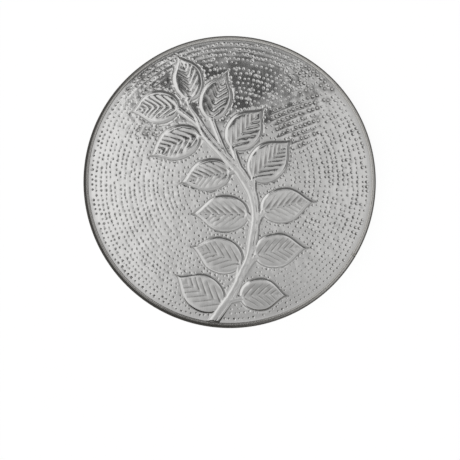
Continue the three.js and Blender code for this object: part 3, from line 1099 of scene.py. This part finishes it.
def metal(name):
    material = bpy.data.materials.new(name)
    material.use_nodes = True
    nodes = Nodes(material.node_tree)
    shader = nodes.new("ShaderNodeBsdfPrincipled", {"Metallic": 1.0})
    nodes.new("ShaderNodeOutputMaterial", {"Surface": shader.outputs[0]})
    place = nodes.new("ShaderNodeTexCoord", {}).outputs["Object"]
    return material, nodes, shader, place


def plate_metal():
    material, nodes, shader, place = metal("plate_metal")
    grain = nodes.noise(place, 900, 3, (1, 0.03, 1))
    cloud = nodes.noise(place, 22, 4)
    fine = nodes.noise(place, 2600, 2)
    tarnish = nodes.new("ShaderNodeAttribute", {}, attribute_name="tarnish").outputs["Fac"]
    tone = nodes.mix(nodes.ramp(cloud, 0.3, 0.7), PLATE_DARK, PLATE_LIGHT)
    tone = nodes.mix(nodes.product(nodes.ramp(grain, 0.45, 0.75), 0.25), tone, PLATE_GRAIN)
    # Tarnish in the pits and troughs, and painted shade on the branch, on one side of the pits and round the
    # beads
    tone = nodes.mix(nodes.product(tarnish, 0.9), tone, PLATE_TARNISH_AND_SHADE)
    rough = nodes.total(nodes.ramp(cloud, 0.3, 0.7, 0.07, 0.1), nodes.ramp(grain, 0.3, 0.7, 0, 0.04))
    relief = nodes.bump(nodes.total(grain, nodes.product(fine, 0.3)), 0.00004, 0.6)
    nodes.feed(shader, {"Base Color": tone, "Roughness": rough, "Normal": relief})
    return material


def rim_metal():
    material, nodes, shader, place = metal("rim_metal")
    brushed = nodes.noise(place, 6000, 2, (0.004, 0.004, 1))
    wide = nodes.noise(place, 900, 2, (0.02, 0.02, 1))
    tone = nodes.mix(nodes.ramp(brushed, 0.35, 0.65), RIM_DARK, RIM_LIGHT)
    x, y, z = nodes.new("ShaderNodeSeparateXYZ", {0: place}).outputs
    # Painted shade: darker towards the right, along the cut top edge, in a strip round the upper inner face,
    # and over the inner face of the left side
    tone = nodes.mix(nodes.ramp(x, -40 * MM, 150 * MM, 0, 0.7), tone, RIM_RIGHT_SHADE)
    out = nodes.math("SQRT", nodes.total(nodes.product(x, x), nodes.product(y, y)), 0.0)
    inner = nodes.ramp(out, (TRAY_RADIUS - 0.5) * MM, (TRAY_RADIUS - 0.8) * MM)
    leftward = nodes.total(nodes.product(x, -0.906), nodes.product(y, -0.42))
    leftward = nodes.ramp(leftward, -0.25 * TRAY_RADIUS * MM, 0.5 * TRAY_RADIUS * MM)
    left_wall_shade = nodes.product(inner, leftward, nodes.ramp(z, 4 * MM, 7 * MM, 0, 0.95))
    wall_shade_strip = nodes.product(inner, nodes.ramp(z, 9.5 * MM, 12 * MM, 0, 0.75))
    # Painted shade along the cut top edge
    top = nodes.ramp(z, (TRAY_HEIGHT - 0.4) * MM, (TRAY_HEIGHT - 0.15) * MM, 0, 0.95)
    painted_rim_shade = nodes.largest(left_wall_shade, wall_shade_strip, top)
    tone = nodes.mix(painted_rim_shade, tone, RIM_PAINTED_SHADE)
    low_inside = nodes.product(inner, nodes.ramp(z, 9 * MM, 6 * MM, 0, 0.6))
    rough = nodes.product(nodes.ramp(wide, 0.3, 0.7, 0.2, 0.32), nodes.rest(low_inside))
    relief = nodes.bump(brushed, 0.00002, 0.7)
    around = nodes.new("ShaderNodeTangent", {}, direction_type="RADIAL", axis="Z").outputs[0]
    nodes.feed(shader, {"Base Color": tone, "Roughness": rough, "Normal": relief, "Tangent": around})
    # Where the shade is painted, the surface is made mostly non-metallic
    nodes.feed(shader, {"Metallic": nodes.rest(nodes.product(painted_rim_shade, 0.9))})
    nodes.feed(shader, {"Specular IOR Level": 0.0, "Anisotropic": 0.5})
    return material


def solder(name, dark, light, roughness):
    material, nodes, shader, place = metal(name)
    blotch = nodes.noise(place, 240, 4)
    tone = nodes.mix(nodes.ramp(blotch, 0.35, 0.65), dark, light)
    rough = nodes.ramp(blotch, 0.3, 0.7, roughness - 0.06, roughness + 0.08)
    relief = nodes.bump(nodes.noise(place, 1500, 2), 0.00008, 0.5)
    nodes.feed(shader, {"Base Color": tone, "Roughness": rough, "Normal": relief})
    return material


def make_floor():
    """A plain white floor: bright to the eye and in the metal, and still shaded where the tray stands."""
    sides = ((-1, -1), (1, -1), (1, 1), (-1, 1))
    corners = [(x * FLOOR_HALF, y * FLOOR_HALF, -FLOOR_DEPTH) for x, y in sides]
    floor = mesh_object("floor", corners, [(0, 1, 2, 3)])
    material = bpy.data.materials.new("floor_white")
    material.use_nodes = True
    nodes = Nodes(material.node_tree)
    diffuse = nodes.new("ShaderNodeBsdfDiffuse", {"Color": FLOOR_WHITE}).outputs[0]
    glow = nodes.new("ShaderNodeEmission", {"Strength": FLOOR_GLOW}).outputs[0]
    path = nodes.new("ShaderNodeLightPath", {})
    kinds = ("Is Camera Ray", "Is Glossy Ray", "Is Transmission Ray")
    seen = nodes.product(nodes.largest(*(path.outputs[kind] for kind in kinds)), 0.85)
    surface = nodes.new("ShaderNodeMixShader", {0: seen, 1: diffuse, 2: glow}).outputs[0]
    nodes.new("ShaderNodeOutputMaterial", {"Surface": surface})
    floor.data.materials.append(material)


def make_world():
    """A pale studio: bright to the left, dim overhead where the camera stands, white at the horizon."""
    world = bpy.data.worlds.new("studio")
    world.use_nodes = True
    bpy.context.scene.world = world
    nodes = Nodes(world.node_tree)
    ramp = nodes.ramp
    direction = nodes.new("ShaderNodeTexCoord", {}).outputs["Generated"]
    x, y, z = nodes.new("ShaderNodeSeparateXYZ", {0: direction}).outputs
    # The panel overhead: brighter to the left, then to the right, dimmer to the front
    panel = nodes.total(0.60, ramp(x, 0.0, -0.24, 0, 0.40), ramp(x, 0.04, 0.2, 0, 0.20))
    panel = nodes.total(panel, ramp(y, -0.06, -0.3, 0, -0.14))
    hole = nodes.spot((x, y), HOLE_CENTRE, HOLE_HALF)
    slanted = (nodes.total(x, y), nodes.math("SUBTRACT", x, y))
    streak = nodes.spot(slanted, STREAK_CENTRE, STREAK_HALF)
    panel = nodes.product(panel, ramp(hole, 0.5, 1.5, 0.1, 1.0), ramp(streak, 0.2, 1.4, 0.12, 1.0))
    # It is open to the left wall
    edge = nodes.product(ramp(x, 0.46, 0.34), ramp(y, -0.46, -0.34), ramp(y, 0.42, 0.3), ramp(z, 0.3, 0.5))
    # The room round it, and the lit sides below
    left = nodes.product(ramp(x, -0.25, -0.5), ramp(y, -0.35, 0.0, 0.35, 0.95), ramp(z, 0.35, 0.68, 0.3, 1.0))
    room = nodes.total(0.14, left, ramp(x, 0.5, 0.9, 0, 0.25), ramp(y, -0.25, -0.5, 0, 0.4))
    level = nodes.total(nodes.product(panel, edge), nodes.product(room, nodes.rest(edge)))
    horizon = nodes.product(ramp(z, 0.62, 0.42), ramp(y, -0.4, 0.4, 0.9, 0.42), ramp(x, 0.6, 0.0, 0.6, 1.0))
    level = nodes.largest(level, horizon)
    white = ramp(z, 0.12, 0.04)
    level = nodes.total(nodes.product(level, nodes.rest(white)), white)
    light = nodes.new("ShaderNodeBackground", {"Strength": level, "Color": (1, 1, 1, 1)})
    nodes.new("ShaderNodeOutputWorld", {"Surface": light.outputs[0]})


def make_camera():
    data = bpy.data.cameras.new("camera")
    camera = bpy.data.objects.new("camera", data)
    bpy.context.scene.collection.objects.link(camera)
    place = Vector(CAMERA_PLACE) * MM
    back = (place - Vector(CAMERA_AIM) * MM).normalized()
    right = Vector((0, 1, 0)).cross(back).normalized()
    camera.location = place
    camera.rotation_mode = "QUATERNION"
    camera.rotation_quaternion = Matrix((right, back.cross(right), back)).transposed().to_quaternion()
    data.sensor_width = 36
    data.lens = CAMERA_LENS
    data.shift_x, data.shift_y = CAMERA_SHIFT
    bpy.context.scene.camera = camera


def dress(made, node, material):
    made.data.materials.append(material)
    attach(made, "root")
    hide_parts(node)


dress(make_plate(), "base_plate", plate_metal())
dress(make_band(), "rim_band", rim_metal())
dress(make_seam(), "rim_seam_solder", solder("seam_solder", SEAM_DARK, SEAM_LIGHT, 0.38))
dress(make_fillet(), "corner_solder_fillet",
      solder("corner_solder", CORNER_DARK, CORNER_LIGHT, 0.3))
make_floor()
make_world()
make_camera()
bpy.context.scene.view_settings.view_transform = "Standard"
